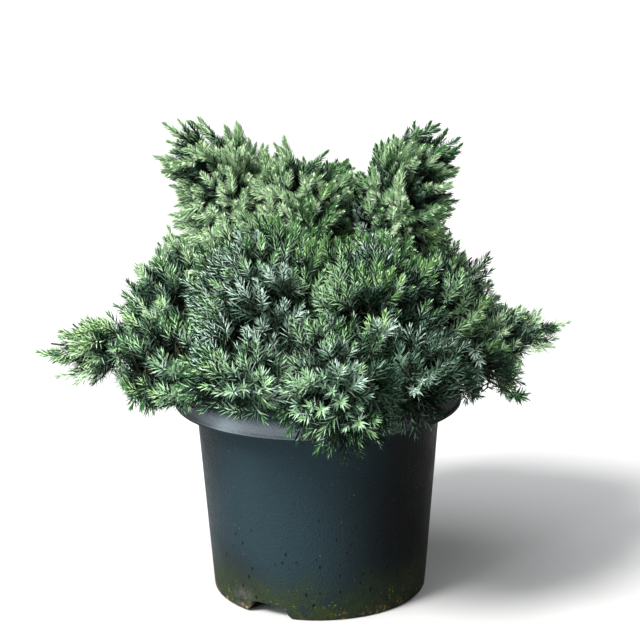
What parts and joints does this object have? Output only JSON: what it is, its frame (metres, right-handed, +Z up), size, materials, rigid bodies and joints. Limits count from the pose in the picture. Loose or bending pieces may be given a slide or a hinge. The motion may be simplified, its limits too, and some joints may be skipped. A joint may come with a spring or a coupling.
{
  "type": "potted dwarf conifer",
  "caption": "Dwarf blue juniper, a dense spreading evergreen shrub with short sharp needles, standing in a round plastic nursery pot.",
  "frame": {"origin": "middle of the pot's flat underside, on the surface that it stands on", "axes": "+Z up, -Y towards the front of the plant, +X to the right when it is seen from the front"},
  "size_m": [0.4344, 0.3893, 0.3862],
  "materials": {
    "pot_plastic": "satin, fine grain, weathered",
    "compost": "matte, crumbly",
    "bark": "matte, scaly",
    "foliage": "matte, waxy blue-green bloom"
  },
  "bodies": {
    "root": {"pot": "pot_plastic", "compost": "compost", "trunk": "bark", "bough_upper_left": "bark", "bough_upper_middle": "bark", "bough_upper_right": "bark", "bough_upper_back": "bark", "bough_left_shoulder": "bark", "bough_right_shoulder": "bark", "bough_front_high": "bark", "bough_front_right_high": "bark", "bough_front_right_low": "bark", "bough_front_low": "bark", "bough_front_left_low": "bark", "bough_left_low": "bark", "bough_far_left": "bark", "bough_far_right": "bark", "bough_right_low": "bark", "bough_back_left": "bark", "bough_back_middle": "bark", "bough_back_right": "bark", "foliage_upper_left": "foliage", "foliage_upper_middle": "foliage", "foliage_upper_right": "foliage", "foliage_upper_back": "foliage", "foliage_left_shoulder": "foliage", "foliage_right_shoulder": "foliage", "foliage_front_high": "foliage", "foliage_front_right_high": "foliage", "foliage_front_right_low": "foliage", "foliage_front_low": "foliage", "foliage_front_left_low": "foliage", "foliage_left_low": "foliage", "foliage_far_left": "foliage", "foliage_far_right": "foliage", "foliage_right_low": "foliage", "foliage_back_left": "foliage", "foliage_back_middle": "foliage", "foliage_back_right": "foliage"}
  },
  "joints": []
}
